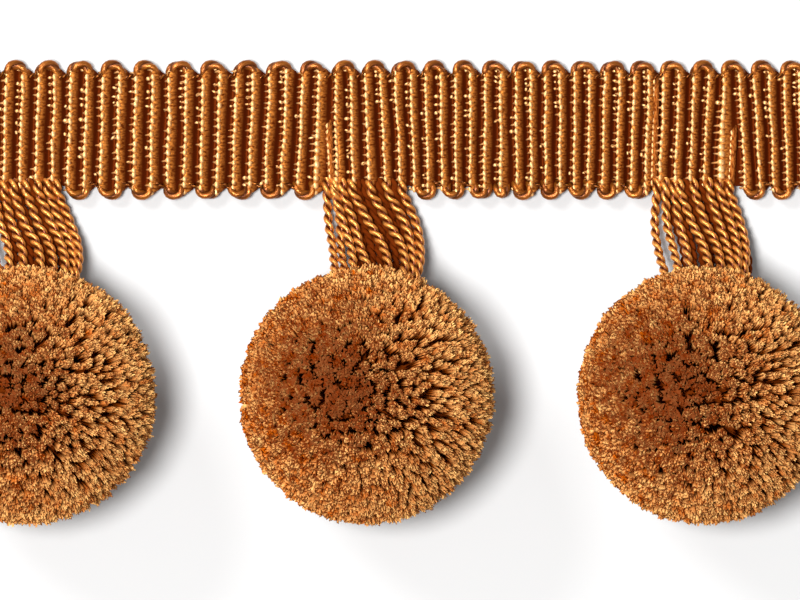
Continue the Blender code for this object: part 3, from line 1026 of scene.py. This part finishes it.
scallops = loops(UPPER_EDGE, TOP, 1, 0.52, UPPER_RISE, lambda x: UPPER_SHIFT + pull("head", x))
scallops += loops(LOWER_EDGE, FOOT, -1, 0.50, LOWER_RISE, lambda x: 0.0)
braid_gimp = twist("braid_gimp", scallops, GIMP_RADIUS, GIMP_PLY_SHARE, GIMP_LAY, step=0.3 * MM,
                   finish=gimp_rayon, seed=2)
tie_routes = ties(UPPER_EDGE, TOP, 1) + ties(LOWER_EDGE, FOOT, -1)
braid_ties = twist("braid_ties", tie_routes, TIE_RADIUS, PLY_SHARE, TIE_LAY, step=0.4 * MM,
                   finish=gimp_rayon, seed=4)
half_rib_routes = [half_rib_route(half) for half in HALF_RIBS]
half_ribs = twist("braid_half_ribs", half_rib_routes, HALF_RIB_RADIUS, share=1.0, lay=math.inf,
                  step=0.3 * MM, finish=core_rayon, seed=6, plies=1)

for piece in (braid_ground, braid_warp, half_ribs, braid_gimp, braid_ties):
    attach(piece, "root")
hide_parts("heading")

# %% [markdown]
# ## The hangers
# Each ball hangs on a bundle of cords that leave the braid side by side and run into the ball to its knot.
# They cross and part on the way, which leaves gaps to see through. A simulation would drop them at random,
# so their routes are short lists, given one row for each cord, with a second layer of cords in shade
# behind.


# %% The hangers
class Cord(NamedTuple):
    """A cord of a hanger: how far right of the ball's middle it is in mm, at the braid, a third and two
    thirds of the way and at the ball, and its layer, from 0 behind to 1 in front."""

    braid: float
    upper: float
    lower: float
    ball: float
    layer: float


HANGER_CORDS = {
    1: [
        Cord(-5.4, -5.0, -4.6, -3.9, 0.5),
        Cord(-4.6, -3.9, -2.9, -2.6, 0.8),
        Cord(-3.4, -2.5, -1.2, -1.0, 0.6),
        Cord(-2.3, -1.0, 0.7, 1.1, 0.9),
        Cord(-0.8, 0.6, 2.2, 2.6, 0.8),
        Cord(0.6, 2.2, 3.6, 4.0, 0.9),
        Cord(1.8, 3.3, 4.7, 4.9, 0.6),
        Cord(2.9, 4.5, 5.5, 5.4, 0.9),
    ],
    2: [
        Cord(-4.85, -4.65, -4.15, -3.8, 0.6),
        Cord(-3.95, -2.95, -2.0, -1.6, 0.8),
        Cord(-3.9, -3.3, -3.2, -2.7, 0.4),
        Cord(-3.0, -1.65, -0.85, 0.2, 0.7),
        Cord(-1.9, 0.15, 1.9, 2.5, 1.0),
        Cord(0.3, 2.4, 4.15, 4.4, 0.9),
        Cord(2.3, 4.4, 5.25, 5.3, 0.6),
        Cord(4.1, 5.75, 6.3, 6.0, 0.8),
    ],
    3: [
        Cord(-5.4, -5.7, -5.4, -4.6, 0.6),
        Cord(-4.4, -4.3, -3.6, -2.9, 0.9),
        Cord(-3.4, -2.8, -2.0, -1.6, 0.6),
        Cord(-2.7, -1.3, 0.1, 0.7, 1.0),
        Cord(-1.0, 0.3, 1.7, 2.1, 0.9),
        Cord(0.8, 2.0, 2.9, 3.4, 0.7),
        Cord(2.0, 3.4, 4.1, 4.0, 1.0),
        Cord(3.2, 4.5, 5.1, 4.8, 0.7),
    ],
}
HANGER_BACKS = {
    1: [-4.8, -3.9, -2.9, -2.0, -1.0, -0.1, 0.8, 1.7, 2.4],
    2: [-3.9, -3.0, -2.1, -1.2, -0.3, 0.6, 1.5, 2.4, 3.2],
    3: [-4.8, -3.8, -2.7, -1.8, -0.9, 0.0, 0.9, 1.8, 2.6],
}
BACK_SLANT = [0.0, 1.5, 2.5, 2.7]  # of the cords behind, from the braid down to the ball
HANGER_CORD_RADIUS = 0.58 * MM
HANGER_LAY = 2.8 * MM
# along a hanger, in mm: across the trim, above the table, and how thick the hanger is
STATIONS = [(13.6, 1.25, 1.5), (12.9, 1.75, 1.7), (12.2, 1.70, 1.9), (11.0, 1.35, 2.0), (8.6, 1.75, 2.3),
            (5.6, 3.30, 2.6), (2.6, 5.60, 2.9), (-0.4, 8.00, 3.2), (-3.0, 10.00, 3.0)]
BRAID_Y, UPPER_Y, LOWER_Y, BALL_Y, KNOT_Y = 12.6, 8.6, 5.6, 2.6, -3.0
KNOT_SPREAD = 0.5  # how far apart the cords are at the knot, as a share of where they enter the ball


def hanger_route(row, middle):
    """The points of one cord of a hanger, in metres."""
    points = []
    for y, height, thickness in STATIONS:
        x = np.interp(y, [BALL_Y, LOWER_Y, UPPER_Y, BRAID_Y], [row.ball, row.lower, row.upper, row.braid])
        inward = np.interp(y, [KNOT_Y, BALL_Y], [KNOT_SPREAD, 1.0])
        room = thickness * MM - 2 * HANGER_CORD_RADIUS
        z = max(height * MM + (row.layer - 0.5) * room, HANGER_CORD_RADIUS)
        points.append(Vector((middle + x * inward * MM, y * MM, z)))
    return points


def hanger_layer(name, rows, middle, step, finish, seed):
    """The cords of one layer of a hanger, in steps of that length."""
    routes = [hanger_route(row, middle) for row in rows]
    return twist(name, routes, HANGER_CORD_RADIUS, PLY_SHARE, HANGER_LAY, step, finish, seed)


for number, rows in HANGER_CORDS.items():
    low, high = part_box(f"ball_{number}")
    middle = (low.x + high.x) / 2
    backs = [Cord(*[x + slant for slant in BACK_SLANT], layer=0.0) for x in HANGER_BACKS[number]]
    hanger = hanger_layer(f"hanger_cords_{number}", rows, middle, 0.2 * MM, cord_rayon, number)
    behind = hanger_layer(f"hanger_backs_{number}", backs, middle, 0.45 * MM, shaded_rayon, number)
    for piece in (hanger, behind):
        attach(piece, "root")
    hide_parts(f"hanger_{number}")
